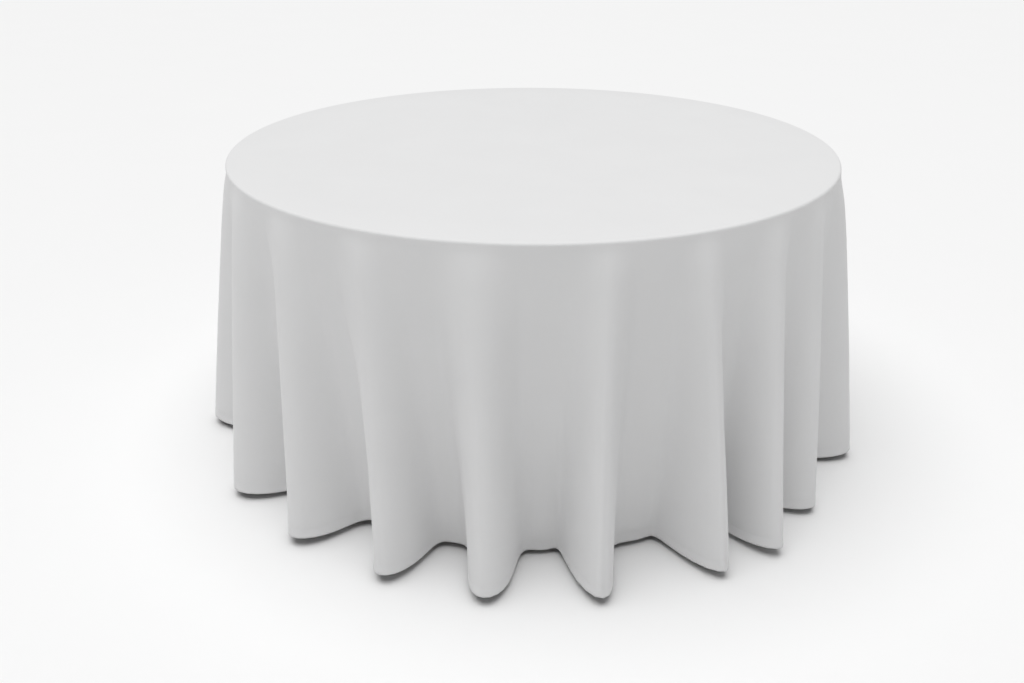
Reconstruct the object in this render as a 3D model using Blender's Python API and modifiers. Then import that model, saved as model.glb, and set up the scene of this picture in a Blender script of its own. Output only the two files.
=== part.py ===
"""A round folding banquet table dressed with a floor-length round tablecloth.

Frame: metres, +Z up, origin on the floor under the middle of the table. Angles round the table
are measured from -Y towards +X. The left and right leg sets fold inwards under the table top.
"""

import math

import bmesh
import bpy
from mathutils import Vector

# Table top
TABLE_DIAMETER = 1.524
TABLE_HEIGHT = 0.762
TOP_THICKNESS = 0.018
BAND_WALL = 0.003
BAND_CORNER = 0.0025
FIT_GAP = 0.0003

# Tablecloth
CLOTH_DIAMETER = 3.030
CLOTH_THICKNESS = 0.0008
CLOTH_SLACK = 0.0009
CLOTH_EDGE_RADIUS = 0.004
HEM_WIDTH = 0.022
HEM_THICKNESS = 0.001
VALLEY_IN = 0.062
FLARE_POWER = 1.15
CREST_POWER = 1.6
FLARE_START = 0.04
SKIRT_STOPS = (0.25, 0.60)
FOLD_COLUMNS = 8
# Each fold's crest: its angle in degrees, and how far it stands out from the top's edge at the hem
FOLDS = (
    (-85, 0.122), (-59, 0.096), (-39, 0.104), (-21, 0.112), (-5, 0.125),
    (9, 0.133), (27, 0.130), (39, 0.138), (53, 0.096), (73, 0.116),
    (92, 0.120), (110, 0.108), (127, 0.118), (146, 0.104), (163, 0.122),
    (181, 0.128), (199, 0.110), (217, 0.124), (236, 0.106), (256, 0.116),
)

# Rails and blocks under the top
RAIL_WIDTH = 0.070
RAIL_LENGTH = 0.900
RAIL_THICKNESS = 0.020
NESTING_OFFSET = 0.032
BLOCK_SIZE = 0.080
RAIL_CENTRE_X = 0.400

# Leg frames
TUBE_RADIUS = 0.0127
TUBE_WALL = 0.0016
PIVOT_DROP = 0.022
PIVOT_TUBE_LENGTH = 0.800
LEG_SPACING = 0.720
LEG_SPLAY = math.radians(3)
STRETCHER_BELOW_PIN = 0.026
FOOT_RADIUS = 0.0165
FOOT_HEIGHT = 0.040
FOOT_SOLE = 0.008

# Pivot brackets
BRACKET_SPACING = 0.600
BRACKET_WIDTH = 0.030
BRACKET_LENGTH = 0.064
BRACKET_PLATE = 0.0025
BRACKET_RING_WALL = 0.003
SCREW_SPACING = 0.050

# Folding braces
BRACE_TOP_REACH = 0.280
BRACE_LEG_REACH = 0.360
BRACE_BAR_WIDTH = 0.020
BRACE_BAR_THICKNESS = 0.004
BRACE_BAR_GAP = 0.0005
LUG_THICKNESS = 0.003
PIN_RADIUS = 0.003
PIN_HEAD_RADIUS = 0.0055
PIN_HEAD_HEIGHT = 0.0022
BRACE_PLATE_LENGTH = 0.060
BRACE_PLATE_WIDTH = 0.036
BRACE_SCREW_SPACING = 0.040
BRACE_SCREW_Y = 0.010

# Screws
SCREW_RADIUS = 0.002
SCREW_LENGTH = 0.014
SCREW_HEAD_RADIUS = 0.004
SCREW_HEAD_HEIGHT = 0.0022

# Worked out from the sizes above
TOP_RADIUS = TABLE_DIAMETER / 2
UNDERSIDE = TABLE_HEIGHT - TOP_THICKNESS
LEG_Y = LEG_SPACING / 2
BORE_RADIUS = TUBE_RADIUS + FIT_GAP
CLOTH_RADIUS = TOP_RADIUS + CLOTH_SLACK + CLOTH_THICKNESS
CLOTH_TOP = TABLE_HEIGHT + FIT_GAP + CLOTH_THICKNESS
FLAT_RADIUS = CLOTH_RADIUS - CLOTH_EDGE_RADIUS
SKIRT_LENGTH = CLOTH_DIAMETER / 2 - FLAT_RADIUS - CLOTH_EDGE_RADIUS * math.pi / 2
HEM_TOP = 1 - HEM_WIDTH / SKIRT_LENGTH
SCREW_TIP = SCREW_LENGTH - BRACKET_PLATE
UPPER_BAR_Y = 0.0
LOWER_BAR_Y = BRACE_BAR_THICKNESS + BRACE_BAR_GAP
LUG_Y = LOWER_BAR_Y + (BRACE_BAR_THICKNESS + LUG_THICKNESS) / 2 + FIT_GAP
EAR_Y = UPPER_BAR_Y - (BRACE_BAR_THICKNESS + LUG_THICKNESS) / 2 - FIT_GAP

MERGE = 0.00005


def clear_scene():
    """Remove every object of the startup scene."""
    for obj in list(bpy.data.objects):
        bpy.data.objects.remove(obj, do_unlink=True)


def collection(name):
    """A new collection linked to the scene."""
    made = bpy.data.collections.new(name)
    bpy.context.scene.collection.children.link(made)
    return made


def material(name, colour, roughness, metallic=0.0):
    """A Principled material."""
    made = bpy.data.materials.new(name)
    made.use_nodes = True
    shader = made.node_tree.nodes["Principled BSDF"]
    shader.inputs["Base Color"].default_value = (*colour, 1.0)
    shader.inputs["Roughness"].default_value = roughness
    shader.inputs["Metallic"].default_value = metallic
    return made


clear_scene()
PARTS = collection("dressed_banquet_table")
CUTTERS = collection("cutters")
CLOTH = material("white_polyester", (0.86, 0.86, 0.87), 0.85)
HEM = material("white_hem", (0.82, 0.82, 0.83), 0.85)
PLYWOOD = material("plywood", (0.62, 0.45, 0.27), 0.6)
HARDWOOD = material("hardwood", (0.52, 0.36, 0.20), 0.6)
VINYL = material("black_vinyl", (0.03, 0.03, 0.03), 0.5)
STEEL = material("grey_powder_coat", (0.25, 0.26, 0.27), 0.45, 0.3)
ZINC = material("zinc_plate", (0.72, 0.72, 0.70), 0.35, 1.0)
RUBBER = material("black_rubber", (0.02, 0.02, 0.02), 0.8)


def place(obj, finish, parent=None, location=(0, 0, 0), turn=(0, 0, 0)):
    """Link a finished object, give it its material, and put it where it belongs."""
    PARTS.objects.link(obj)
    obj.data.materials.append(finish)
    obj.parent = parent
    obj.location = location
    obj.rotation_euler = turn
    return obj


def hide_as_cutter(obj):
    """Keep a cutter out of the render and the part."""
    CUTTERS.objects.link(obj)
    obj.hide_render = True
    obj.display_type = "WIRE"
    return obj


def cut(target, cutter):
    """Take the cutter's shape away from the target."""
    boolean = target.modifiers.new("cut_" + cutter.name, "BOOLEAN")
    boolean.operation = "DIFFERENCE"
    boolean.object = cutter


def join(target, other):
    """Weld the other shape to the target."""
    boolean = target.modifiers.new("join_" + other.name, "BOOLEAN")
    boolean.operation = "UNION"
    boolean.object = other


def empty(name, parent=None, location=(0, 0, 0), turn=(0, 0, 0)):
    """A frame that pieces are parented to."""
    made = bpy.data.objects.new(name, None)
    PARTS.objects.link(made)
    made.parent = parent
    made.location = location
    made.rotation_euler = turn
    return made


def box_object(name, size, centre=(0, 0, 0)):
    """A box of the given size, centred on a point of its own frame."""
    mesh = bpy.data.meshes.new(name)
    shape = bmesh.new()
    bmesh.ops.create_cube(shape, size=1.0)
    bmesh.ops.scale(shape, vec=Vector(size), verts=shape.verts)
    bmesh.ops.translate(shape, vec=Vector(centre), verts=shape.verts)
    shape.to_mesh(mesh)
    shape.free()
    return bpy.data.objects.new(name, mesh)


def turned_object(name, profile, steps=20, closed=False):
    """A turned shape from (radius, height) points that run down its outer side."""
    mesh = bpy.data.meshes.new(name)
    count = len(profile)
    edges = [(i, i + 1) for i in range(count - 1)]
    if closed:
        edges.append((count - 1, 0))
    mesh.from_pydata([(radius, 0.0, height) for radius, height in profile], edges, [])
    obj = bpy.data.objects.new(name, mesh)
    screw = obj.modifiers.new("turn", "SCREW")
    screw.steps = steps
    screw.render_steps = steps
    screw.use_merge_vertices = True
    screw.merge_threshold = MERGE
    return obj


def rod_object(name, radius, length, steps=20, start=0.0):
    """A solid round bar along +Z."""
    end = start + length
    return turned_object(name, [(0, end), (radius, end), (radius, start), (0, start)], steps)


def tube_object(name, outer, wall, length, steps=20):
    """A round tube along +Z, centred on its own origin."""
    half = length / 2
    inner = outer - wall
    profile = [(outer, half), (outer, -half), (inner, -half), (inner, half)]
    return turned_object(name, profile, steps, closed=True)


# --- tablecloth -----------------------------------------------------------------------------------


def fold_flare(angle_deg):
    """How far out the hem stands at this angle: a wave from each crest to the valley beside it."""
    first = FOLDS[0][0]
    wrapped = first + (angle_deg - first) % 360
    closing = (first + 360, FOLDS[0][1])
    for (here, reach), (after, next_reach) in zip(FOLDS, FOLDS[1:] + (closing,)):
        if wrapped <= after:
            across = (wrapped - here) / (after - here)
            crest = reach + (next_reach - reach) * across
            wave = (0.5 + 0.5 * math.cos(2 * math.pi * across)) ** CREST_POWER
            return wave * (crest + VALLEY_IN) - VALLEY_IN
    return FOLDS[0][1]


def skirt_point(angle_deg, share):
    """A point of the skirt's outer face, a share of the drop below the rounded edge."""
    flare = fold_flare(angle_deg)
    fall = math.sqrt(SKIRT_LENGTH * SKIRT_LENGTH - flare * flare)
    grown = max(0.0, (share - FLARE_START) / (1 - FLARE_START)) ** FLARE_POWER
    radius = CLOTH_RADIUS + flare * grown
    height = CLOTH_TOP - CLOTH_EDGE_RADIUS - fall * share
    angle = math.radians(angle_deg)
    return Vector((radius * math.sin(angle), -radius * math.cos(angle), height))


def edge_point(angle_deg, turn):
    """A point of the cloth's rounded edge, from 0 at the flat top to a quarter turn at the skirt."""
    radius = CLOTH_RADIUS - CLOTH_EDGE_RADIUS * (1 - math.sin(turn))
    height = CLOTH_TOP - CLOTH_EDGE_RADIUS * (1 - math.cos(turn))
    angle = math.radians(angle_deg)
    return Vector((radius * math.sin(angle), -radius * math.cos(angle), height))


def ring_strip(shape, rings):
    """Join rings of vertices, each the full way round, with quads facing outwards."""
    count = len(rings[0])
    for upper, lower in zip(rings, rings[1:]):
        for i in range(count):
            j = (i + 1) % count
            shape.faces.new((upper[i], lower[i], lower[j], upper[j]))


def column_angles():
    """The angle of each column of the cloth, in degrees: the same number of columns to every fold."""
    crests = [angle for angle, _ in FOLDS]
    return [
        here + (after - here) * i / FOLD_COLUMNS
        for here, after in zip(crests, crests[1:] + [crests[0] + 360])
        for i in range(FOLD_COLUMNS)
    ]


def solidify(obj, thickness):
    """Give a sheet its thickness, on the inner side of its outer face."""
    modifier = obj.modifiers.new("thickness", "SOLIDIFY")
    modifier.thickness = thickness
    modifier.offset = -1.0


def make_tablecloth():
    """The whole round cloth: flat on the table, round its edge, and down in folds to the hem."""
    shape = bmesh.new()
    middle = shape.verts.new((0, 0, CLOTH_TOP))
    angles = column_angles()
    rings = [
        [shape.verts.new(edge_point(angle, turn)) for angle in angles]
        for turn in (0, math.pi / 4, math.pi / 2)
    ]
    rings += [
        [shape.verts.new(skirt_point(angle, share)) for angle in angles]
        for share in (FLARE_START, *SKIRT_STOPS, HEM_TOP, 1.0)
    ]
    for i, corner in enumerate(rings[0]):
        shape.faces.new((middle, rings[0][i - 1], corner))
    ring_strip(shape, rings)
    mesh = bpy.data.meshes.new("tablecloth")
    shape.to_mesh(mesh)
    shape.free()
    cloth = place(bpy.data.objects.new("tablecloth", mesh), CLOTH)
    solidify(cloth, CLOTH_THICKNESS)
    mesh.shade_smooth()


def make_hem():
    """The turned-up hem inside the bottom of the skirt, following every fold."""
    shape = bmesh.new()
    rings = [
        [shape.verts.new(skirt_point(angle, share)) for angle in column_angles()]
        for share in (HEM_TOP, 1.0)
    ]
    ring_strip(shape, rings)
    shape.normal_update()
    inset = CLOTH_THICKNESS + FIT_GAP
    for vertex in shape.verts:
        flat = Vector((vertex.normal.x, vertex.normal.y, 0)).normalized()
        vertex.co -= flat * inset
    mesh = bpy.data.meshes.new("hem")
    shape.to_mesh(mesh)
    shape.free()
    hem = place(bpy.data.objects.new("hem", mesh), HEM)
    solidify(hem, HEM_THICKNESS)
    mesh.shade_smooth()


# --- table top ------------------------------------------------------------------------------------


def make_table_top():
    """The plywood disc and the band round its edge."""
    disc_radius = TOP_RADIUS - BAND_WALL - FIT_GAP
    disc = rod_object("table_top", disc_radius, TOP_THICKNESS, 96, start=UNDERSIDE)
    place(disc, PLYWOOD)
    inner = TOP_RADIUS - BAND_WALL
    bend = BAND_CORNER * (1 - math.sqrt(0.5))
    profile = [
        (inner, TABLE_HEIGHT),
        (TOP_RADIUS - BAND_CORNER, TABLE_HEIGHT),
        (TOP_RADIUS - bend, TABLE_HEIGHT - bend),
        (TOP_RADIUS, TABLE_HEIGHT - BAND_CORNER),
        (TOP_RADIUS, UNDERSIDE + BAND_CORNER),
        (TOP_RADIUS - bend, UNDERSIDE + bend),
        (TOP_RADIUS - BAND_CORNER, UNDERSIDE),
        (inner, UNDERSIDE),
    ]
    place(turned_object("edge_band", profile, 96, closed=True), VINYL)


# --- screws, rails and brackets -------------------------------------------------------------------


def screw_cutter(name, parent, location):
    """The clearance hole of one screw, through the plate and into the wood above it."""
    start = -2 * BRACKET_PLATE
    length = SCREW_TIP + FIT_GAP - start
    hole = hide_as_cutter(rod_object(name, SCREW_RADIUS + FIT_GAP, length, 12, start=start))
    hole.parent = parent
    hole.location = location
    return hole


def make_screw(name, parent, location):
    """A round-headed wood screw that points up, with its head under the plate."""
    head = -BRACKET_PLATE - FIT_GAP
    profile = [
        (0, SCREW_TIP),
        (SCREW_RADIUS, SCREW_TIP),
        (SCREW_RADIUS, head),
        (SCREW_HEAD_RADIUS, head),
        (SCREW_HEAD_RADIUS, head - SCREW_HEAD_HEIGHT / 2),
        (SCREW_HEAD_RADIUS * 0.7, head - SCREW_HEAD_HEIGHT),
        (0, head - SCREW_HEAD_HEIGHT),
    ]
    place(turned_object(name, profile, 12), ZINC, parent, location)


def make_rail(side, frame, drop):
    """The wooden rail that carries one leg set's brackets, glued under the top."""
    thickness = drop - 2 * FIT_GAP
    rail = box_object(side + "_rail", (RAIL_WIDTH, RAIL_LENGTH, thickness))
    return place(rail, HARDWOOD, frame, (0, 0, PIVOT_DROP + FIT_GAP + thickness / 2))


def make_block(side, frame, drop):
    """The wooden block that carries one brace bracket."""
    thickness = drop - 2 * FIT_GAP
    block = box_object(side + "_brace_block", (BLOCK_SIZE, BLOCK_SIZE, thickness))
    centre = (BRACE_TOP_REACH, 0, PIVOT_DROP + FIT_GAP + thickness / 2)
    return place(block, HARDWOOD, frame, centre)


def make_pivot_bracket(side, end, frame, y, rail):
    """A saddle bracket: a plate screwed to the rail with a ring round the pivot tube."""
    name = f"{side}_{end}_pivot_bracket"
    plate_middle = PIVOT_DROP - BRACKET_PLATE / 2
    plate_size = (BRACKET_LENGTH, BRACKET_WIDTH, BRACKET_PLATE)
    plate = box_object(name, plate_size, (0, 0, plate_middle))
    place(plate, STEEL, frame, (0, y, 0))
    ring_radius = BORE_RADIUS + BRACKET_RING_WALL
    ring = rod_object(name + "_ring", ring_radius, BRACKET_WIDTH, 24, start=-BRACKET_WIDTH / 2)
    web_size = (2 * BORE_RADIUS, BRACKET_WIDTH, plate_middle)
    web = box_object(name + "_web", web_size, (0, 0, plate_middle / 2))
    bore = rod_object(name + "_bore", BORE_RADIUS, 2 * BRACKET_WIDTH, 20, start=-BRACKET_WIDTH)
    for helper, turn in ((ring, math.pi / 2), (web, 0), (bore, math.pi / 2)):
        hide_as_cutter(helper)
        helper.parent = frame
        helper.location = (0, y, 0)
        helper.rotation_euler = (turn, 0, 0)
    join(plate, web)
    join(plate, ring)
    cut(plate, bore)
    for x in (-SCREW_SPACING / 2, SCREW_SPACING / 2):
        where = "outer" if x < 0 else "inner"
        at = (x, y, PIVOT_DROP)
        hole = screw_cutter(f"{name}_hole_{where}", frame, at)
        cut(plate, hole)
        cut(rail, hole)
        make_screw(f"{side}_{end}_{where}_screw", frame, at)


def make_brace_bracket(side, frame, block):
    """An angle bracket under its block, with the ear that the upper brace bar hangs from."""
    name = side + "_brace_bracket"
    plate_middle = PIVOT_DROP - BRACKET_PLATE / 2
    plate_size = (BRACE_PLATE_LENGTH, BRACE_PLATE_WIDTH, BRACKET_PLATE)
    plate = box_object(name, plate_size, (0, 0, plate_middle))
    place(plate, STEEL, frame, (BRACE_TOP_REACH, 0, 0))
    ear_height = plate_middle + BRACE_BAR_WIDTH / 2
    ear = box_object(
        name + "_ear",
        (BRACE_BAR_WIDTH, LUG_THICKNESS, ear_height),
        (0, EAR_Y, ear_height / 2 - BRACE_BAR_WIDTH / 2),
    )
    bore = rod_object(name + "_bore", PIN_RADIUS + FIT_GAP, 0.04, 12, start=-0.02)
    for helper, turn in ((ear, 0), (bore, math.pi / 2)):
        hide_as_cutter(helper)
        helper.parent = frame
        helper.location = (BRACE_TOP_REACH, 0, 0)
        helper.rotation_euler = (turn, 0, 0)
    join(plate, ear)
    cut(plate, bore)
    for x in (-BRACE_SCREW_SPACING / 2, BRACE_SCREW_SPACING / 2):
        where = "outer" if x < 0 else "inner"
        at = (BRACE_TOP_REACH + x, BRACE_SCREW_Y, PIVOT_DROP)
        hole = screw_cutter(f"{name}_hole_{where}", frame, at)
        cut(plate, hole)
        cut(block, hole)
        make_screw(f"{side}_brace_{where}_screw", frame, at)


# --- leg frame ------------------------------------------------------------------------------------


def make_leg_frame(side, frame, pivot_height):
    """Pivot tube, two legs and a stretcher, with their feet. It hangs down -Z and is splayed."""
    across = (math.pi / 2, 0, 0)
    place(
        tube_object(side + "_pivot_tube", TUBE_RADIUS, TUBE_WALL, PIVOT_TUBE_LENGTH),
        STEEL, frame, (0, 0, 0), across,
    )
    floor_reach = pivot_height / math.cos(LEG_SPLAY)
    top = -TUBE_RADIUS - FIT_GAP
    tube_bottom = -floor_reach + FOOT_SOLE
    length = top - tube_bottom
    floor = box_object(side + "_floor_cutter", (2, 2, 0.1), (0, 0, -0.05))
    hide_as_cutter(floor)
    for end, y in (("front", -LEG_Y), ("back", LEG_Y)):
        place(
            tube_object(f"{side}_{end}_leg", TUBE_RADIUS, TUBE_WALL, length),
            STEEL, frame, (0, y, (top + tube_bottom) / 2),
        )
        make_foot(f"{side}_{end}_foot", frame, (0, y, tube_bottom), floor)
    stretcher_z = -BRACE_LEG_REACH - STRETCHER_BELOW_PIN
    between = LEG_SPACING - 2 * TUBE_RADIUS - 2 * FIT_GAP
    stretcher = tube_object(side + "_stretcher", TUBE_RADIUS, TUBE_WALL, between)
    place(stretcher, STEEL, frame, (0, 0, stretcher_z), across)
    lug_bottom = stretcher_z + TUBE_RADIUS + FIT_GAP
    lug_top = -BRACE_LEG_REACH + BRACE_BAR_WIDTH / 2
    lug = box_object(
        side + "_brace_lug",
        (BRACE_BAR_WIDTH, LUG_THICKNESS, lug_top - lug_bottom),
        (0, LUG_Y, (lug_top + lug_bottom) / 2),
    )
    place(lug, STEEL, frame)
    bore = rod_object(side + "_lug_bore", PIN_RADIUS + FIT_GAP, 0.04, 12, start=-0.02)
    hide_as_cutter(bore)
    bore.parent = frame
    bore.location = (0, 0, -BRACE_LEG_REACH)
    bore.rotation_euler = across
    cut(lug, bore)


def make_foot(name, frame, location, floor):
    """A rubber cup on the end of a leg, trimmed flat where it stands on the floor."""
    profile = [
        (0, -FIT_GAP),
        (BORE_RADIUS, -FIT_GAP),
        (BORE_RADIUS, FOOT_HEIGHT),
        (FOOT_RADIUS - 0.001, FOOT_HEIGHT),
        (FOOT_RADIUS, FOOT_HEIGHT - 0.002),
        (FOOT_RADIUS, -2 * FOOT_SOLE),
        (0, -2 * FOOT_SOLE),
    ]
    foot = place(turned_object(name, profile), RUBBER, frame, location)
    cut(foot, floor)


# --- folding brace --------------------------------------------------------------------------------


def brace_geometry():
    """(upper bar, lower bar, angle at the top pin, angle at the leg pin) of the straight brace."""
    opened = math.pi / 2 + LEG_SPLAY
    top, leg = BRACE_TOP_REACH, BRACE_LEG_REACH
    span = math.sqrt(top * top + leg * leg - 2 * top * leg * math.cos(opened))
    upper = (span - (leg - top)) / 2
    lower = (span + (leg - top)) / 2
    at_top = math.acos((top * top + span * span - leg * leg) / (2 * top * span))
    return upper, lower, at_top, math.pi - opened - at_top


def make_bar(name, frame, length, y, turn, holes):
    """A flat bar with round ends, the hull of two discs, from its pin at the origin along +Z."""
    shape = bmesh.new()
    steps = 16
    for centre in (0, length):
        for side_y in (-BRACE_BAR_THICKNESS / 2, BRACE_BAR_THICKNESS / 2):
            for i in range(steps):
                angle = 2 * math.pi * i / steps
                x = BRACE_BAR_WIDTH / 2 * math.cos(angle)
                shape.verts.new((x, side_y, centre + BRACE_BAR_WIDTH / 2 * math.sin(angle)))
    hull = bmesh.ops.convex_hull(shape, input=shape.verts)
    loose = [part for part in hull["geom_interior"] if isinstance(part, bmesh.types.BMVert)]
    bmesh.ops.delete(shape, geom=loose, context="VERTS")
    mesh = bpy.data.meshes.new(name)
    shape.to_mesh(mesh)
    shape.free()
    bar = place(bpy.data.objects.new(name, mesh), ZINC, frame, (0, y, 0), turn)
    for number, at in enumerate(holes):
        bore = rod_object(f"{name}_bore_{number}", PIN_RADIUS + FIT_GAP, 0.04, 12, start=-0.02)
        hide_as_cutter(bore)
        bore.parent = bar
        bore.location = (0, 0, at)
        bore.rotation_euler = (math.pi / 2, 0, 0)
        cut(bar, bore)
    return bar


def make_pin(name, frame, head_y, tip_y, location=(0, 0, 0)):
    """A rivet along Y with its head at one end."""
    reach = abs(tip_y - head_y)
    profile = [
        (0, reach),
        (PIN_RADIUS, reach),
        (PIN_RADIUS, PIN_HEAD_HEIGHT),
        (PIN_HEAD_RADIUS, PIN_HEAD_HEIGHT),
        (PIN_HEAD_RADIUS, PIN_HEAD_HEIGHT / 2),
        (PIN_HEAD_RADIUS * 0.7, 0),
        (0, 0),
    ]
    turn = -math.pi / 2 if tip_y > head_y else math.pi / 2
    x, y, z = location
    place(turned_object(name, profile, 12), ZINC, frame, (x, y + head_y, z), (turn, 0, 0))


def make_brace(side, frame, leg_frame):
    """The two bars of the folding brace, which stand in line when the legs are down."""
    upper, lower, at_top, at_leg = brace_geometry()
    top_frame = empty(side + "_top_pin_axis", frame, (BRACE_TOP_REACH, 0, 0))
    upper_turn = (0, -math.pi / 2 - at_top, 0)
    name = side + "_upper_brace"
    upper_bar = make_bar(name, top_frame, upper, UPPER_BAR_Y, upper_turn, (0, upper))
    half = BRACE_BAR_THICKNESS / 2
    ear_outer = EAR_Y - LUG_THICKNESS / 2
    head_y = ear_outer - FIT_GAP - PIN_HEAD_HEIGHT
    make_pin(side + "_top_pin", top_frame, head_y, UPPER_BAR_Y + half - FIT_GAP)
    head_y = -half - FIT_GAP - PIN_HEAD_HEIGHT
    make_pin(side + "_middle_pin", upper_bar, head_y, half, (0, 0, upper))
    low_frame = empty(side + "_bottom_pin_axis", leg_frame, (0, 0, -BRACE_LEG_REACH))
    make_bar(side + "_lower_brace", low_frame, lower, LOWER_BAR_Y, (0, at_leg, 0), (0,))
    head_y = LUG_Y + LUG_THICKNESS / 2 + FIT_GAP + PIN_HEAD_HEIGHT
    make_pin(side + "_bottom_pin", low_frame, head_y, LOWER_BAR_Y - half + FIT_GAP)


def make_leg_set(side, turn, drop):
    """Everything that one leg set needs, from the rail under the top down to the feet."""
    pivot_height = UNDERSIDE - drop - PIVOT_DROP
    x = -RAIL_CENTRE_X if side == "left" else RAIL_CENTRE_X
    frame = empty(side + "_set", None, (x, 0, pivot_height), (0, 0, turn))
    rail = make_rail(side, frame, drop)
    block = make_block(side, frame, drop)
    for end, y in (("front", -BRACKET_SPACING / 2), ("back", BRACKET_SPACING / 2)):
        make_pivot_bracket(side, end, frame, y, rail)
    make_brace_bracket(side, frame, block)
    leg_frame = empty(side + "_leg_axis", frame, (0, 0, 0), (0, LEG_SPLAY, 0))
    make_leg_frame(side, leg_frame, pivot_height)
    make_brace(side, frame, leg_frame)


make_tablecloth()
make_hem()
make_table_top()
make_leg_set("left", 0, RAIL_THICKNESS)
make_leg_set("right", math.pi, RAIL_THICKNESS + NESTING_OFFSET)
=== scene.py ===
"""The looks of a round folding table under a floor-length round cloth.

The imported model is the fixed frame. The cloth and its hem are made here as surfaces worked out
from the flat round sheet; the table under them keeps its solids and gets its finishes.
"""

from __future__ import annotations

import logging
import math
from dataclasses import dataclass, replace
from enum import Enum
from typing import Any

import bpy
import numpy as np
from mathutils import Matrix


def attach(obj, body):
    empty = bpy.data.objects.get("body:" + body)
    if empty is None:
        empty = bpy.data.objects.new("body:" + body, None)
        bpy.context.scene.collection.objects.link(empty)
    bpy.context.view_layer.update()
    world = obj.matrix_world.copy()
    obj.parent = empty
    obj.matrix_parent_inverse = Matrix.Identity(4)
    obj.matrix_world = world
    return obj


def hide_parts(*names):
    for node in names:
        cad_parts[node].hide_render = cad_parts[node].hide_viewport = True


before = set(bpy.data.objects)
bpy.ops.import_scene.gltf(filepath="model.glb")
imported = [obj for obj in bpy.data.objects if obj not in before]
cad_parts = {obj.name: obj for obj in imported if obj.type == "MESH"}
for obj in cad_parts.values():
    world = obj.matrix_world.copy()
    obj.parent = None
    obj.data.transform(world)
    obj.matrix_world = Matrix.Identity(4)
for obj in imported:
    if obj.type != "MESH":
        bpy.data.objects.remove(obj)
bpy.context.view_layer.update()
LOG = logging.getLogger("dressed_table")

Colour = tuple[float, float, float]
Vector = tuple[float, float, float]


class Body(Enum):
    """The moving bodies that new pieces ride on."""

    CLOTH = "cloth"


class Grain(Enum):
    """The way a board's grain runs, as a stretch of its pattern along X, Y and Z."""

    ALONG_X = (1.4, 26.0, 26.0)
    ALONG_Y = (26.0, 1.4, 26.0)


# --- shader maths ---------------------------------------------------------------------------------


class Value:
    """A socket of a shader that can stand in a Python expression of numbers."""

    def __init__(self, shader: Shader, socket: Any) -> None:
        """Keep the socket and the shader it belongs to."""
        self.shader = shader
        self.socket = socket

    def _maths(self, operation: str, first: Any, second: Any) -> Value:
        """One Math node on two values."""
        return self.shader.node("ShaderNodeMath", {0: first, 1: second}, operation=operation)

    def __add__(self, other: Any) -> Value:
        """The sum."""
        return self._maths("ADD", self, other)

    def __radd__(self, other: Any) -> Value:
        """The sum, from the right."""
        return self._maths("ADD", other, self)

    def __sub__(self, other: Any) -> Value:
        """The difference."""
        return self._maths("SUBTRACT", self, other)

    def __rsub__(self, other: Any) -> Value:
        """The difference, from the right."""
        return self._maths("SUBTRACT", other, self)

    def __mul__(self, other: Any) -> Value:
        """The product."""
        return self._maths("MULTIPLY", self, other)

    def __rmul__(self, other: Any) -> Value:
        """The product, from the right."""
        return self._maths("MULTIPLY", other, self)


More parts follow.
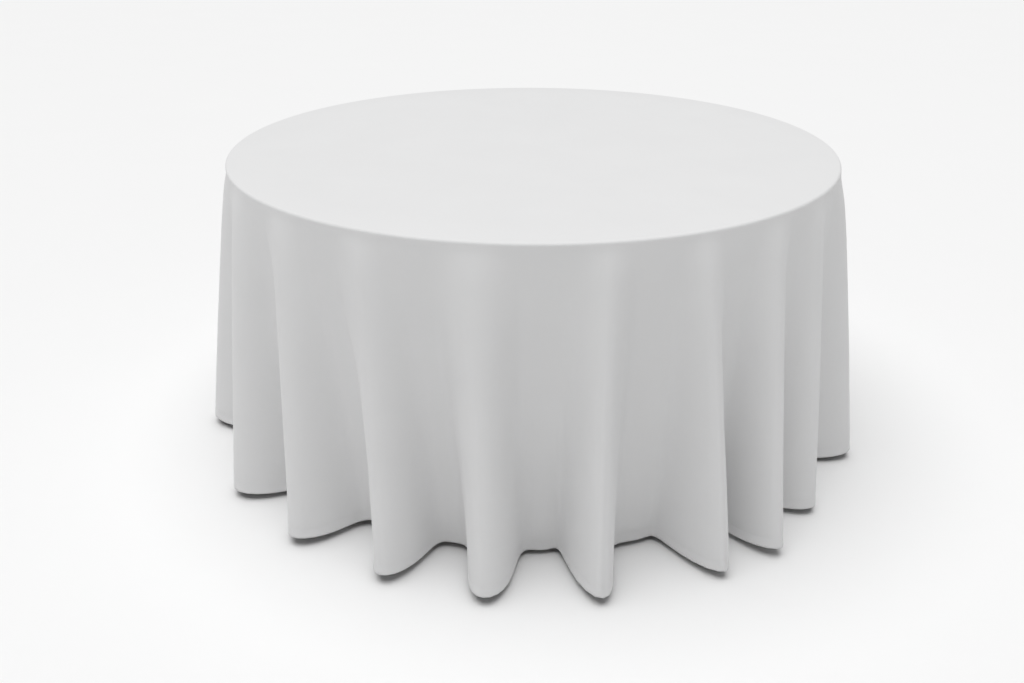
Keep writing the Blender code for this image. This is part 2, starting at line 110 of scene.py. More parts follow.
class Shader:
    """A material under construction, with a Principled shader at its end."""

    def __init__(self, name: str) -> None:
        """Start a material.

        Args:
            name: The material's name.
        """
        self.material = bpy.data.materials.new(name)
        self.material.use_nodes = True
        self.tree = self.material.node_tree
        self.surface = self.tree.nodes["Principled BSDF"]

    def node(
        self, kind: str, inputs: dict[Any, Any] | None = None, output: Any = 0,
        stops: tuple[tuple[float, Colour], ...] = (), **settings: Any,
    ) -> Value:
        """Add a node.

        Args:
            kind: The node's type.
            inputs: Values, colours or links for its sockets, by name or number.
            output: The socket to hand back, by name or number.
            stops: A ramp's positions and colours.
            **settings: The node's own settings, which are set first.

        Returns:
            The output socket, ready for an expression.
        """
        made = self.tree.nodes.new(kind)
        for key, value in settings.items():
            setattr(made, key, value)
        for index, (position, colour) in enumerate(stops):
            elements = made.color_ramp.elements
            stop = elements[index] if index < len(elements) else elements.new(position)
            stop.position = position
            stop.color = (*colour, 1.0)
        for key, value in (inputs or {}).items():
            self.feed(made.inputs[key], value)
        return Value(self, made.outputs[output])

    def feed(self, socket: Any, value: Any) -> None:
        """Link a value to a socket, or set the socket to a number, a colour or a vector."""
        if isinstance(value, Value):
            self.tree.links.new(value.socket, socket)
        elif isinstance(value, tuple) and socket.type == "RGBA":
            socket.default_value = (*value, 1.0)
        else:
            socket.default_value = value

    def mix(self, mask: Any, first: Any, second: Any) -> Value:
        """The first colour where the mask is 0 and the second where it is 1."""
        inputs = {0: mask, 6: first, 7: second}
        return self.node("ShaderNodeMix", inputs, output=2, data_type="RGBA")

    def place(self, source: str = "Object", scale: Vector = (1.0, 1.0, 1.0)) -> Value:
        """Coordinates, stretched by a scale along each axis."""
        here = self.node("ShaderNodeTexCoord", output=source)
        return self.node("ShaderNodeMapping", {"Vector": here, "Scale": scale})

    def noise(self, where: Value, scale: float, detail: float = 3.0) -> Value:
        """Soft noise from 0 to 1 with about this many lumps to a metre."""
        inputs = {"Vector": where, "Scale": scale, "Detail": detail}
        return self.node("ShaderNodeTexNoise", inputs, output="Fac")

    def spread(self, value: Value, low: float, high: float) -> Value:
        """0 below the low value, 1 above the high one, smooth in between."""
        inputs = {"Value": value, "From Min": low, "From Max": high}
        return self.node("ShaderNodeMapRange", inputs, interpolation_type="SMOOTHSTEP")

    def bump(self, height: Value, depth: float, strength: float = 1.0) -> Value:
        """A normal from a height of 0 to 1 that stands for this many metres."""
        inputs = {"Height": height, "Distance": depth, "Strength": strength}
        return self.node("ShaderNodeBump", inputs, output="Normal")

    def finish(self, **sockets: Any) -> bpy.types.Material:
        """Feed the Principled shader.

        Args:
            **sockets: Its inputs, with underscores for spaces.

        Returns:
            The finished material.
        """
        for key, value in sockets.items():
            self.feed(self.surface.inputs[key.replace("_", " ")], value)
        return self.material


# --- finishes -------------------------------------------------------------------------------------


@dataclass(frozen=True)
class WovenPolyester:
    """Matt plain-weave polyester. Its pattern follows the flat sheet through the UV map."""

    name: str
    light: Colour
    shade: Colour
    thread: float = 0.0006
    slub_across: float = 900.0
    slub_along: float = 22.0
    relief: float = 0.00025
    roughness: float = 0.86

    def make(self) -> bpy.types.Material:
        """Warp and weft as two crossed waves, slubs along both, and faint broad unevenness."""
        shader = Shader(self.name)
        sheet = shader.place("UV")
        parts = shader.tree.nodes.new("ShaderNodeSeparateXYZ")
        shader.feed(parts.inputs[0], sheet)
        turn = 2 * math.pi / self.thread
        warp = self._ribs(shader, Value(shader, parts.outputs[0]) * turn)
        weft = self._ribs(shader, Value(shader, parts.outputs[1]) * turn)
        weave = warp * weft + (1 - warp) * (1 - weft)
        warp_stretch = (self.slub_across, self.slub_along, 1.0)
        weft_stretch = (self.slub_along, self.slub_across, 1.0)
        slub_warp = shader.noise(shader.place("UV", warp_stretch), 1.0, 2.0)
        slub_weft = shader.noise(shader.place("UV", weft_stretch), 1.0, 2.0)
        slubs = slub_warp * 0.5 + slub_weft * 0.5
        broad = shader.noise(sheet, 5.0, 4.0)
        tone = shader.spread(slubs * 0.45 + broad * 0.55, 0.32, 0.68)
        colour = shader.mix(tone, self.shade, self.light)
        height = weave * 0.35 + slubs * 0.65
        return shader.finish(
            Base_Color=colour,
            Roughness=self.roughness - 0.06 * tone,
            Normal=shader.bump(height, self.relief, 0.55),
            Sheen_Weight=0.18,
            Sheen_Roughness=0.5,
            Specular_IOR_Level=0.25,
        )

    @staticmethod
    def _ribs(shader: Shader, along: Value) -> Value:
        """Round ribs from 0 to 1 across the threads."""
        wave = shader.node("ShaderNodeMath", {0: along}, operation="SINE")
        return wave * 0.5 + 0.5


@dataclass(frozen=True)
class Board:
    """Clear-lacquered wood with long grain, growth bands and small pores."""

    name: str
    pale: Colour
    dark: Colour
    grain: Grain
    roughness: float = 0.48
    pore_fineness: float = 9.0
    pore_depth: float = 0.0002

    def make(self) -> bpy.types.Material:
        """Bands and pores are noise stretched along the grain."""
        shader = Shader(self.name)
        bands = shader.noise(shader.place(scale=self.grain.value), 1.0, 6.0)
        fine = tuple(self.pore_fineness * share for share in self.grain.value)
        pores = shader.noise(shader.place(scale=fine), 1.0, 2.0)
        stain = shader.noise(shader.place(), 3.0, 2.0)
        tone = shader.spread(bands * 0.75 + stain * 0.25, 0.36, 0.64)
        pitted = shader.spread(pores, 0.60, 0.74)
        colour = shader.mix(tone, self.dark, self.pale)
        darker = tuple(0.55 * share for share in self.dark)
        return shader.finish(
            Base_Color=shader.mix(pitted * 0.5, colour, darker),
            Roughness=self.roughness + 0.18 * pitted,
            Normal=shader.bump(1 - pitted, self.pore_depth, 0.5),
        )


@dataclass(frozen=True)
class Coating:
    """A coated or moulded surface: a fine texture, dull rubbed patches, and a little wear."""

    name: str
    base: Colour
    worn: Colour
    roughness: float
    metallic: float = 0.0
    lumps: float = 1400.0
    depth: float = 0.00006
    wear: float = 0.35

    def make(self) -> bpy.types.Material:
        """Colour and roughness shift in rubbed patches, over an orange-peel bump."""
        shader = Shader(self.name)
        where = shader.place()
        peel = shader.noise(where, self.lumps, 2.0)
        rubbed = shader.spread(shader.noise(where, 34.0, 5.0), 0.50, 0.72)
        scratches = shader.spread(shader.noise(shader.place(scale=(1.0, 1.0, 14.0)), 60.0), 0.62, 0.70)
        mask = rubbed * self.wear + scratches * (self.wear * 0.4)
        return shader.finish(
            Base_Color=shader.mix(mask, self.base, self.worn),
            Metallic=self.metallic,
            Roughness=self.roughness + 0.2 * rubbed,
            Normal=shader.bump(peel, self.depth, 0.6),
        )


CLOTH_FINISH = WovenPolyester("white_polyester", (0.795, 0.795, 0.797), (0.778, 0.778, 0.780))
# The hem is the same white polyester as the cloth, made a little darker: painted shade inside and at the
# foot of the turned-up hem.
HEM_PAINTED_SHADE_FINISH = WovenPolyester("white_polyester_hem_painted_shade", (0.785, 0.785, 0.787), (0.765, 0.765, 0.767))
THREAD_FINISH = Coating(
    "white_sewing_thread", (0.80, 0.80, 0.81), (0.70, 0.70, 0.71), 0.62, lumps=5000.0
)
TABLE_FINISHES = {
    "table_top": Board("lacquered_plywood", (0.72, 0.53, 0.33), (0.52, 0.35, 0.19), Grain.ALONG_X),
    "wood": Board("planed_hardwood", (0.56, 0.38, 0.21), (0.38, 0.23, 0.12), Grain.ALONG_Y, 0.56),
    "edge_band": Coating(
        "black_vinyl", (0.022, 0.022, 0.024), (0.07, 0.07, 0.07), 0.42, 0.0, 900.0, 0.00008, 0.25
    ),
    "steel": Coating("grey_powder_coat", (0.20, 0.21, 0.22), (0.34, 0.34, 0.34), 0.44, 0.2),
    "zinc": Coating("zinc_plate", (0.66, 0.67, 0.66), (0.44, 0.44, 0.42), 0.30, 1.0, 260.0, 0.00002),
    "rubber": Coating("black_rubber", (0.018, 0.018, 0.018), (0.07, 0.07, 0.068), 0.74, 0.0, 2200.0),
}


# --- the draped sheet -----------------------------------------------------------------------------


@dataclass(frozen=True)
class Fold:
    """One fold of the skirt: its crest's angle at the hem and the rim, its reach and sharpness."""

    hem_deg: float
    rim_deg: float
    reach: float
    sharp: float = 1.5


FOLDS = (
    Fold(-84.0, -83.0, 0.122), Fold(-56.5, -60.0, 0.104), Fold(-38.5, -44.0, 0.105, 1.4),
    Fold(-21.3, -27.0, 0.114, 1.9), Fold(-6.0, -8.5, 0.129, 1.5), Fold(10.0, 11.5, 0.135, 3.2),
    Fold(28.6, 27.0, 0.134, 2.6), Fold(38.8, 42.0, 0.140), Fold(52.5, 55.0, 0.098),
    Fold(73.0, 72.0, 0.116), Fold(92.0, 91.0, 0.120, 1.6), Fold(110.0, 112.0, 0.108),
    Fold(127.0, 129.5, 0.118, 1.8), Fold(146.0, 144.5, 0.104, 1.1), Fold(163.0, 161.0, 0.122, 1.5),
    Fold(181.0, 183.0, 0.128), Fold(199.0, 201.5, 0.110, 1.9), Fold(217.0, 215.0, 0.124, 1.3),
    Fold(236.0, 234.0, 0.106), Fold(256.0, 257.0, 0.116, 1.7),
)


def periodic(values: np.ndarray, phase: np.ndarray) -> np.ndarray:
    """A smooth closed curve through one value per fold.

    Each stretch is the cubic whose slope at a fold is half the step between its neighbours.

    Args:
        values: One number, or one point, for each fold.
        phase: Places along the folds, with a fold at each whole number.

    Returns:
        The curve's values at those places.
    """
    count = len(values)
    start = np.floor(phase).astype(int)
    share = phase - start
    if values.ndim > 1:
        share = share[..., None]
    before, here, after, beyond = (values[(start + step) % count] for step in (-1, 0, 1, 2))
    first = after - before
    second = 2 * before - 5 * here + 4 * after - beyond
    third = beyond - before + 3 * (here - after)
    return here + 0.5 * share * (first + share * (second + share * third))


def smooth(value: np.ndarray) -> np.ndarray:
    """0 up to 0, 1 from 1, with a level start and end."""
    held = np.clip(value, 0.0, 1.0)
    return held * held * (3 - 2 * held)


@dataclass(frozen=True)
class Drape:
    """How a round sheet hangs from a round top.

    A point of the sheet is (phase, distance): the phase counts folds round the table and the
    distance is how far the point lies from the middle of the flat sheet, in metres. Its fall is
    0 where the sheet starts to hang and 1 at its edge.
    """

    sheet_radius: float = 1.515
    rim_radius: float = 0.7664
    rim_bend: float = 0.0065
    top: float = 0.7631
    valley_in: float = 0.060
    valley_start: float = 0.035
    valley_power: float = 1.25
    wall_steepness: float = 0.40
    wall_power: float = 1.5
    lean_power: float = 1.4
    growth: float = 1.02
    scallop: float = 0.028
    scallop_full: float = 0.11
    lesser_share: float = 0.055
    lesser_turn: float = 4.0
    rim_tuck: float = 0.0022
    tuck_full: float = 0.022
    tuck_end: float = 0.23
    least_sink: float = 0.02
    hem_width: float = 0.022
    pucker: float = 0.0006
    pucker_reach: float = 0.006
    gather_share: float = 0.55
    gathers_per_fold: int = 5

    @property
    def flat_radius(self) -> float:
        """Where the sheet leaves the flat top."""
        return self.rim_radius - self.rim_bend

    @property
    def skirt_start(self) -> float:
        """The distance at which the sheet hangs straight down."""
        return self.flat_radius + self.rim_bend * math.pi / 2

    @property
    def skirt_length(self) -> float:
        """From the bend to the edge of the sheet."""
        return self.sheet_radius - self.skirt_start

    def _angles(self, phase: np.ndarray, fall: np.ndarray) -> np.ndarray:
        """The angle round the table: each fold leans from its rim angle to its hem angle."""
        count = len(FOLDS)
        even = 360.0 / count
        steps = even * np.arange(count)
        hem = periodic(np.array([fold.hem_deg for fold in FOLDS]) - steps, phase)
        rim = periodic(np.array([fold.rim_deg for fold in FOLDS]) - steps, phase)
        lean = (1 - fall) ** self.lean_power
        steep = self.wall_steepness * fall**self.wall_power / (4 * math.pi)
        wall = steep * np.sin(4 * math.pi * phase)
        return np.radians(hem + (rim - hem) * lean + even * (phase + wall))

    def _wave(self, phase: np.ndarray, fall: np.ndarray) -> np.ndarray:
        """0 in a valley and the fold's own reach on its crest, with a lesser fold here and there.

        The crest is a raised cosine to the power of the fold's sharpness. The lesser folds are a
        sine whose place drifts down the skirt, on the walls only, by an uneven share.
        """
        reach = periodic(np.array([fold.reach for fold in FOLDS]), phase) + self.valley_in
        sharp = periodic(np.array([fold.sharp for fold in FOLDS]), phase)
        turn = 2 * math.pi * phase
        crest = (0.5 + 0.5 * np.cos(turn)) ** sharp
        uneven = periodic(np.sin(5.3 * np.arange(len(FOLDS))), phase)
        between = np.sin(turn) ** 2 * np.sin(turn + self.lesser_turn * fall + 3.0 * uneven)
        return reach * (crest + self.lesser_share * uneven * between * smooth(2.5 * fall))

    def _depth(self, fall: np.ndarray) -> np.ndarray:
        """The share of their full reach that the folds have.

        It is a power of the fall below the rim, and a little more just under the rim, where the
        sheet leaves the edge in shallow scallops.
        """
        return fall**self.growth + self.scallop * smooth(fall / self.scallop_full) * (1 - fall)

    def _valley(self, fall: np.ndarray) -> np.ndarray:
        """How far in the valleys reach: nothing beside the top's edge, then steadily more."""
        below = np.clip((fall - self.valley_start) / (1 - self.valley_start), 0.0, 1.0)
        return self.valley_in * below**self.valley_power

    def _ring(self, phase: np.ndarray, fall: np.ndarray, depth: np.ndarray) -> np.ndarray:
        """The wavy ring at each distance, as complex numbers in the plane of the floor."""
        leaving = (fall - self.tuck_end + 0.2) / 0.2
        tuck = self.rim_tuck * smooth(fall / self.tuck_full) * (1 - smooth(leaving))
        radius = self.rim_radius - tuck - self._valley(fall) + depth * self._wave(phase, fall)
        return radius * np.exp(1j * self._angles(phase, fall))

    def surface(self, phase: np.ndarray, distance: np.ndarray) -> np.ndarray:
        """Points of the hanging sheet.

        Across the top they are flat rings, then a quarter bend at the rim. Down the skirt each
        point stands on its wavy ring, and sinks by what is left of its step along the sheet once
        the step sideways is taken off, by Pythagoras.

        Args:
            phase: A row of phases, from 0 to the number of folds.
            distance: A column of rising distances from the middle of the sheet.

        Returns:
            An array of rows by columns by three, in metres.
        """
        phase, distance = phase[None, :], distance[:, None]
        bend = np.clip((distance - self.flat_radius) / self.rim_bend, 0.0, math.pi / 2)
        fall = np.clip((distance - self.skirt_start) / self.skirt_length, 0.0, 1.0)
        ring = self._ring(phase, fall, self._depth(fall))
        inner = np.minimum(distance, self.flat_radius) + self.rim_bend * np.sin(bend)
        ring = np.where(fall > 0, ring, inner * np.exp(1j * self._angles(phase, fall)))
        sideways = np.abs(np.diff(ring, axis=0))
        along = np.diff(distance, axis=0)
        sunk = np.sqrt(np.maximum(along**2 - sideways**2, self.least_sink * along**2))
        sunk = np.where(fall[1:] > 0, sunk, 0.0)
        height = self.top - self.rim_bend * (1 - np.cos(bend))
        height = height - np.concatenate([np.zeros_like(sunk[:1]), np.cumsum(sunk, axis=0)])
        return np.stack([ring.imag, -ring.real, height], axis=2)

    def gathers(self, phase: np.ndarray, distance: np.ndarray) -> np.ndarray:
        """The seam's pull inwards along the hem's stitching, with small even gathers, in metres."""
        away = (distance[:, None] - (self.sheet_radius - self.hem_width)) / self.pucker_reach
        wave = np.sin(2 * math.pi * self.gathers_per_fold * phase[None, :])
        return self.pucker * (1 + self.gather_share * wave) * np.exp(-(away**2))

    def flat(self, phase: np.ndarray, distance: np.ndarray) -> np.ndarray:
        """Where the same points lie on the flat sheet, in metres.

        The angle on the sheet is the share of the hem's own length up to that phase.
        """
        down = np.linspace(self.skirt_start, self.sheet_radius, 60)
        hem = self.surface(phase, np.array([0.0, *down]))[-1]
        step = np.linalg.norm(np.diff(np.concatenate([hem, hem[:1]]), axis=0), axis=1)
        turn = 2 * math.pi * np.concatenate([[0.0], np.cumsum(step)[:-1]]) / step.sum()
        return np.stack([distance[:, None] * np.cos(turn), distance[:, None] * np.sin(turn)], axis=2)


# --- meshes ---------------------------------------------------------------------------------------


def grid_faces(rows: int, columns: int) -> np.ndarray:
    """Quads between neighbouring rows of points, each row closed on itself."""
    index = np.arange(rows * columns).reshape(rows, columns)
    after = np.roll(index, -1, axis=1)
    quads = np.stack([index[:-1], index[1:], after[1:], after[:-1]], axis=2)
    return quads.reshape(-1, 4)


def mesh_object(name: str, points: np.ndarray, faces: list[Any]) -> bpy.types.Object:
    """A smooth-shaded object from points and faces, linked to the scene."""
    mesh = bpy.data.meshes.new(name)
    mesh.from_pydata(points.reshape(-1, 3).tolist(), [], faces)
    mesh.shade_smooth()
    mesh.update()
    made = bpy.data.objects.new(name, mesh)
    bpy.context.scene.collection.objects.link(made)
    return made


def set_uv(obj: bpy.types.Object, flat: np.ndarray) -> None:
    """Give every corner its point's place on the flat sheet."""
    layer = obj.data.uv_layers.new(name="sheet")
    corners = np.empty(len(obj.data.loops), dtype=np.int32)
    obj.data.loops.foreach_get("vertex_index", corners)
    layer.data.foreach_set("uv", flat.reshape(-1, 2)[corners].astype(np.float32).ravel())


def give_thickness(obj: bpy.types.Object, thickness: float) -> None:
    """Thicken a sheet on its inner side."""
    modifier = obj.modifiers.new("thickness", "SOLIDIFY")
    modifier.thickness = thickness
    modifier.offset = -1.0
    modifier.use_even_offset = False


def wear(obj: bpy.types.Object, material: bpy.types.Material) -> None:
    """Put one material on all of an object."""
    if not obj.data.materials:
        obj.data.materials.append(material)
    for index in range(len(obj.data.materials)):
        obj.data.materials[index] = material


def level_run(points: np.ndarray) -> np.ndarray:
    """The direction round the table at each point of a grid whose rows are closed."""
    run = np.roll(points, -1, axis=-2) - np.roll(points, 1, axis=-2)
    return run / np.linalg.norm(run, axis=-1, keepdims=True).clip(1e-9)


def outward(points: np.ndarray) -> np.ndarray:
    """The outward normal at each point of a grid that runs down and round: down crossed by run."""
    normal = np.cross(np.gradient(points, axis=0), level_run(points))
    return normal / np.linalg.norm(normal, axis=-1, keepdims=True).clip(1e-9)


@dataclass(frozen=True)
class Settling:
    """The cloth simulation that lets the made drape settle under its own weight."""

    frames: int = 12
    slack_growth: float = 0.88
    gravity_share: float = 0.06
    vertex_mass: float = 0.12
    tension: float = 45.0
    compression: float = 12.0
    shear: float = 12.0
    bending: float = 1.2
    air: float = 3.0
    quality: int = 6
    furthest: float = 0.020

    def run(self, cover: bpy.types.Object, rest: np.ndarray, held: np.ndarray) -> np.ndarray:
        """Let the sheet settle and hand back where its points end up.

        Args:
            cover: The sheet in its made drape. It gets its simulation and loses it again.
            rest: The points of the slightly fuller sheet whose lengths the cloth tries to keep.
            held: Which points stay where they are.

        Returns:
            The settled points, none moved by more than the furthest distance.
        """
        count = len(cover.data.vertices)
        cover.shape_key_add(name="made")
        fuller = cover.shape_key_add(name="fuller")
        fuller.data.foreach_set("co", rest.astype(np.float32).ravel())
        group = cover.vertex_groups.new(name="held")
        group.add(np.flatnonzero(held).tolist(), 1.0, "REPLACE")
        cloth = cover.modifiers.new("settling", "CLOTH")
        cloth.settings.rest_shape_key = fuller
        cloth.settings.vertex_group_mass = group.name
        cloth.settings.mass = self.vertex_mass
        cloth.settings.tension_stiffness = self.tension
        cloth.settings.compression_stiffness = self.compression
        cloth.settings.shear_stiffness = self.shear
        cloth.settings.bending_stiffness = self.bending
        cloth.settings.air_damping = self.air
        cloth.settings.quality = self.quality
        cloth.settings.effector_weights.gravity = self.gravity_share
        cloth.collision_settings.use_collision = False
        cloth.point_cache.frame_start = 1
        cloth.point_cache.frame_end = self.frames
        scene = bpy.context.scene
        for frame in range(1, self.frames + 1):
            scene.frame_set(frame)
        graph = bpy.context.evaluated_depsgraph_get()
        settled = np.empty(count * 3, dtype=np.float32)
        cover.evaluated_get(graph).data.vertices.foreach_get("co", settled)
        made = np.empty(count * 3, dtype=np.float32)
        cover.data.vertices.foreach_get("co", made)
        cover.modifiers.remove(cloth)
        cover.shape_key_clear()
        cover.vertex_groups.remove(group)
        scene.frame_set(1)
        made, settled = made.reshape(-1, 3), settled.reshape(-1, 3)
        moved = settled - made
        far = np.linalg.norm(moved, axis=1, keepdims=True)
        return (made + moved * np.minimum(1.0, self.furthest / far.clip(1e-9))).astype(float)


@dataclass
class Tablecloth:
    """The round cloth, its turned hem and the hem's stitching."""

    drape: Drape = Drape()
    settling: Settling = Settling()
    columns: int = 480
    top_rows: int = 8
    bend_rows: int = 6
    skirt_rows: int = 76
    band_rows: int = 6
    rows_above_band: int = 2
    thickness: float = 0.0008
    hem_gap: float = 0.0003
    hem_thickness: float = 0.0010
    hem_tuck: float = 0.00055
    hem_proud: float = 0.00015
    hem_tuck_rise: float = 0.0003
    hem_tuck_back: float = 0.0006
    stitch_pitch: float = 0.0045
    stitch_share: float = 0.62
    stitch_sides: int = 5
    stitch_profile: tuple[float, ...] = (0.45, 0.9, 1.0, 0.9, 0.45)
    stitch_rise: float = 1.1
    stitch_sink: float = 0.55
    thread_radius: float = 0.00035
    band_depth: float = 0.024
    band_clear: float = 0.7634
    floor_clear: float = 0.003

    def __post_init__(self) -> None:
        """Work out the columns' phases and the rows' distances.

        The rows are wide across the top, close at the bend, even down the skirt, and close
        again over the hem, whose last rows its band shares.
        """
        drape = self.drape
        self.phases = np.arange(self.columns) * len(FOLDS) / self.columns
        top = np.linspace(0.0, drape.flat_radius, self.top_rows + 1)[1:-1]
        bend = np.linspace(drape.flat_radius, drape.skirt_start, self.bend_rows + 1)[:-1]
        steps = np.arange(self.band_rows + self.rows_above_band)[::-1] / (self.band_rows - 1)
        hem = drape.sheet_radius - drape.hem_width * steps
        skirt = np.linspace(drape.skirt_start, hem[0], self.skirt_rows, endpoint=False)
        self.distances = np.concatenate([top, bend, skirt, hem])
        self.points = drape.surface(self.phases, self.distances)

    def make_cover(self) -> bpy.types.Object:
        """The sheet itself, from the middle of the top down to the edge of the hem."""
        shape = self.points.shape
        flat = self.drape.flat(self.phases, self.distances)
        middle = shape[0] * shape[1]
        faces = grid_faces(*shape[:2]).tolist()
        ring = np.arange(self.columns)
        faces += np.stack([np.full_like(ring, middle), ring, np.roll(ring, -1)], axis=1).tolist()
        pole = np.array([[0.0, 0.0, self.drape.top]])
        cover = mesh_object("cloth_cover", np.concatenate([self.points.reshape(-1, 3), pole]), faces)
        set_uv(cover, np.concatenate([flat.reshape(-1, 2), [[0.0, 0.0]]]))
        self.settle(cover, pole)
        self.points -= outward(self.points) * self.drape.gathers(self.phases, self.distances)[..., None]
        final = np.concatenate([self.points.reshape(-1, 3), pole])
        cover.data.vertices.foreach_set("co", final.astype(np.float32).ravel())
        cover.data.update()
        give_thickness(cover, self.thickness)
        wear(cover, CLOTH_FINISH.make())
        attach(cover, Body.CLOTH.value)
        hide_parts("tablecloth")
        return cover

    def settle(self, cover: bpy.types.Object, pole: np.ndarray) -> None:
        """Let the skirt hang freely, and keep it clear of the table's edge and the floor."""
        fuller = replace(self.drape, growth=self.settling.slack_growth)
        rest = fuller.surface(self.phases, self.distances).reshape(-1, 3)
        held = np.repeat(self.distances <= self.drape.skirt_start, self.columns)
        settled = self.settling.run(
            cover, np.concatenate([rest, pole]), np.concatenate([held, [True]])
        )
        points = settled[:-1].reshape(self.points.shape)
        reach = np.hypot(points[..., 0], points[..., 1])
        beside = points[..., 2] > self.drape.top - self.band_depth
        beside &= (self.distances > self.drape.skirt_start)[:, None]
        push = np.where(beside, np.maximum(1.0, self.band_clear / reach.clip(0.1)), 1.0)
        points[..., :2] *= push[..., None]
        points[..., 2] = np.maximum(points[..., 2], self.floor_clear)
        self.points = points

    def make_hem(self) -> bpy.types.Object:
        """The turned-up band inside the bottom of the skirt.

        It is the sheet's last rows moved inwards, a little further at the foot, with one more row
        at its top edge that turns in under the stitching.
        """
        inset = np.full(self.band_rows, self.thickness + self.hem_gap)
        inset[-1] += self.hem_proud
        normal = outward(self.points)[-self.band_rows:]
        points = self.points[-self.band_rows:] - normal * inset[:, None, None]
        tucked = points[:1] - normal[:1] * self.hem_tuck
        tucked[..., 2] += self.hem_tuck_rise
        points = np.concatenate([tucked, points])
        hem = mesh_object("cloth_hem", points, grid_faces(*points.shape[:2]).tolist())
        distances = self.distances[-self.band_rows:]
        distances = np.concatenate([[distances[0] - self.hem_tuck_back], distances])
        set_uv(hem, self.drape.flat(self.phases, distances))
        give_thickness(hem, self.hem_thickness)
        # The hem's darker copy of the cloth's polyester is painted shade.
        wear(hem, HEM_PAINTED_SHADE_FINISH.make())
        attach(hem, Body.CLOTH.value)
        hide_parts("hem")
        return hem

    def make_stitching(self) -> bpy.types.Object:
        """A lockstitch round the top of the hem: short raised threads that dip at both ends.

        Each stitch is a five-sided tube along a stretch of the seam. Its centre line is the seam
        moved outwards by a half sine over the stitch's length.
        """
        around = 2 * math.pi * self.drape.sheet_radius
        count = int(around / self.stitch_pitch)
        along, sides = len(self.stitch_profile), self.stitch_sides
        steps = np.linspace(0.0, self.stitch_share, along)
        at = (np.arange(count)[:, None] + steps[None, :]) * self.columns / count
        seam = self.points[-self.band_rows]
        centre = periodic(seam, at)
        normal = periodic(outward(self.points)[-self.band_rows], at)
        across = np.cross(normal, periodic(level_run(seam), at))
        hump = np.sin(math.pi * steps / self.stitch_share)[None, :, None]
        rise = self.stitch_rise * hump - self.stitch_sink
        centre = centre + normal * rise * self.thread_radius
        slim = self.thread_radius * np.array(self.stitch_profile)[None, :, None, None]
        turn = 2 * math.pi * np.arange(sides) / sides
        circle = (
            normal[:, :, None, :] * np.cos(turn)[None, None, :, None]
            + across[:, :, None, :] * np.sin(turn)[None, None, :, None]
        )
        points = centre[:, :, None, :] + slim * circle
        index = np.arange(count * along * sides).reshape(count, along, sides)
        after = np.roll(index, -1, axis=2)
        quads = np.stack([index[:, :-1], index[:, 1:], after[:, 1:], after[:, :-1]], axis=3)
        faces = quads.reshape(-1, 4).tolist()
        faces += index[:, 0].tolist() + index[:, -1, ::-1].tolist()
        thread = mesh_object("cloth_stitching", points, faces)
        wear(thread, THREAD_FINISH.make())
        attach(thread, Body.CLOTH.value)
        return thread

    def build(self) -> list[bpy.types.Object]:
        """Make the cloth, its hem and its stitching."""
        cover, hem, thread = self.make_cover(), self.make_hem(), self.make_stitching()
        return [cover, hem, thread]


@dataclass
class FoldingTable:
    """The table under the cloth. Its solids stay, and each takes the finish of its kind."""

    endings: tuple[tuple[tuple[str, ...], str], ...] = (
        (("_rail", "_block"), "wood"),
        (("_screw", "_pin", "_brace"), "zinc"),
        (("_foot",), "rubber"),
        (("_tube", "_leg", "_stretcher", "_lug", "_bracket"), "steel"),
    )

    def finish_of(self, node: str) -> str:
        """The key of the finish for a node, by its own name or by its ending."""
        for ends, key in self.endings:
            if node.endswith(ends):
                return key
        return node

    def build(self) -> list[str]:
        """Dress every node of the table and give back their names."""
        made = {key: finish.make() for key, finish in TABLE_FINISHES.items()}
        dressed = []
        for node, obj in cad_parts.items():
            if node in ("tablecloth", "hem"):
                continue
            wear(obj, made[self.finish_of(node)])
            dressed.append(node)
        return dressed


# --- studio ---------------------------------------------------------------------------------------


@dataclass(frozen=True)
class SoftLight:
    """A far, broad light: where it stands, seen from the table, and how strong and wide it is."""

    name: str
    azimuth_deg: float
    height_deg: float
    strength: float
    width_deg: float

    def build(self) -> None:
        """Add the light."""
        data = bpy.data.lights.new(self.name, "SUN")
        data.energy = self.strength
        data.angle = math.radians(self.width_deg)
        lamp = bpy.data.objects.new(self.name, data)
        bpy.context.scene.collection.objects.link(lamp)
        lamp.rotation_euler = (math.radians(90 - self.height_deg), 0.0, math.radians(self.azimuth_deg))


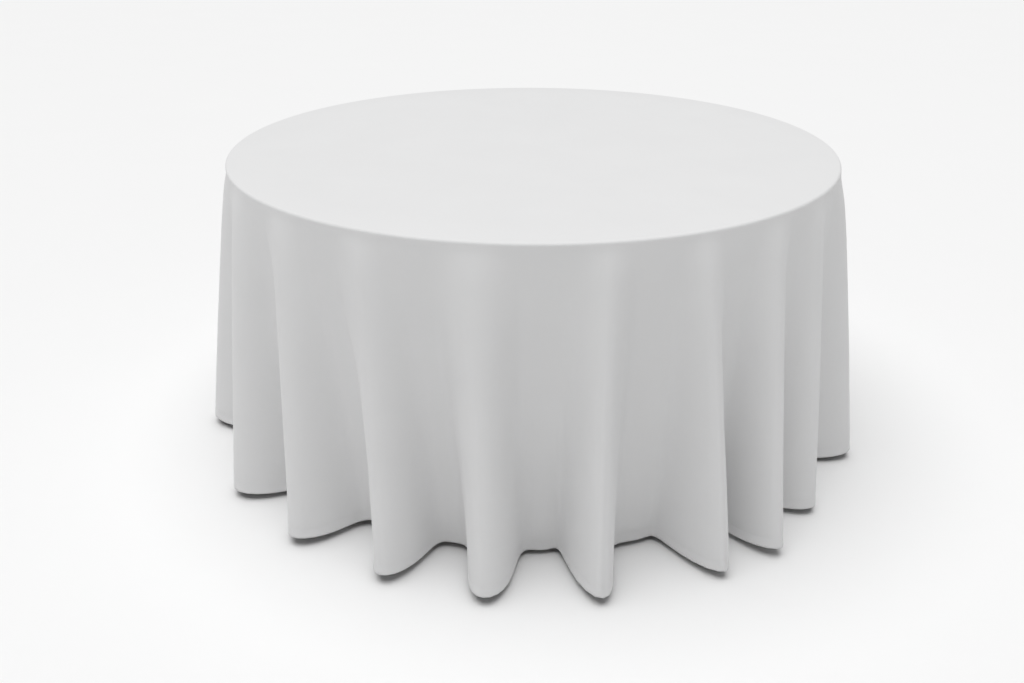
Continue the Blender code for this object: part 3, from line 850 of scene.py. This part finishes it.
@dataclass
class Studio:
    """A pale floor, soft lights and the camera."""

    floor_tone: float = 0.87
    floor_side: float = 60.0
    floor_drop: float = 0.0005
    sky: float = 0.255
    backdrop: float = 0.92
    eye: Vector = (0.0, -2.626, 1.412)
    pitch_deg: float = 65.34
    yaw_deg: float = 1.12
    lens: float = 36.28
    lights: tuple[SoftLight, ...] = (SoftLight("overhead", -58.0, 84.0, 2.56, 62.0),)

    def make_floor(self) -> None:
        """A large level plane just under the feet."""
        half, low = self.floor_side / 2, -self.floor_drop
        corners = np.array([[-half, -half, low], [half, -half, low], [half, half, low], [-half, half, low]])
        floor = mesh_object("studio_floor", corners, [(0, 1, 2, 3)])
        shader = Shader("pale_floor")
        grainy = shader.noise(shader.place(), 2.0, 2.0)
        pale = (self.floor_tone,) * 3
        paler = (min(1.0, self.floor_tone * 1.01),) * 3
        wear(floor, shader.finish(Base_Color=shader.mix(grainy, pale, paler), Roughness=0.9))

    def make_sky(self) -> None:
        """Even white light from all round, with a paler backdrop beyond the floor's edge."""
        world = bpy.data.worlds.new("studio_sky")
        world.use_nodes = True
        tree = world.node_tree
        light = tree.nodes["Background"]
        backdrop = tree.nodes.new("ShaderNodeBackground")
        for node, strength in ((light, self.sky), (backdrop, self.backdrop)):
            node.inputs["Color"].default_value = (1.0, 1.0, 1.0, 1.0)
            node.inputs["Strength"].default_value = strength
        seen = tree.nodes.new("ShaderNodeLightPath")
        either = tree.nodes.new("ShaderNodeMixShader")
        tree.links.new(seen.outputs["Is Camera Ray"], either.inputs["Fac"])
        tree.links.new(light.outputs["Background"], either.inputs[1])
        tree.links.new(backdrop.outputs["Background"], either.inputs[2])
        tree.links.new(either.outputs["Shader"], tree.nodes["World Output"].inputs["Surface"])
        bpy.context.scene.world = world
        bpy.context.scene.view_settings.view_transform = "Standard"

    def make_camera(self) -> None:
        """The camera, a little above the table and looking down at it."""
        camera = bpy.data.objects.new("camera", bpy.data.cameras.new("camera"))
        bpy.context.scene.collection.objects.link(camera)
        camera.data.lens = self.lens
        camera.data.sensor_width = 36.0
        camera.location = self.eye
        camera.rotation_euler = (math.radians(self.pitch_deg), 0.0, math.radians(self.yaw_deg))
        bpy.context.scene.camera = camera

    def build(self) -> None:
        """Set the studio up."""
        self.make_floor()
        self.make_sky()
        for light in self.lights:
            light.build()
        self.make_camera()


def main() -> None:
    """Build the studio, the table's finishes and the cloth, and report each piece."""
    logging.basicConfig(level=logging.INFO, format="%(name)s: %(message)s")
    Studio().build()
    LOG.info("studio ready")
    dressed = FoldingTable().build()
    LOG.info("table: %d nodes dressed", len(dressed))
    for piece in Tablecloth().build():
        LOG.info("%s: %d faces", piece.name, len(piece.data.polygons))


if __name__ == "__main__":
    main()
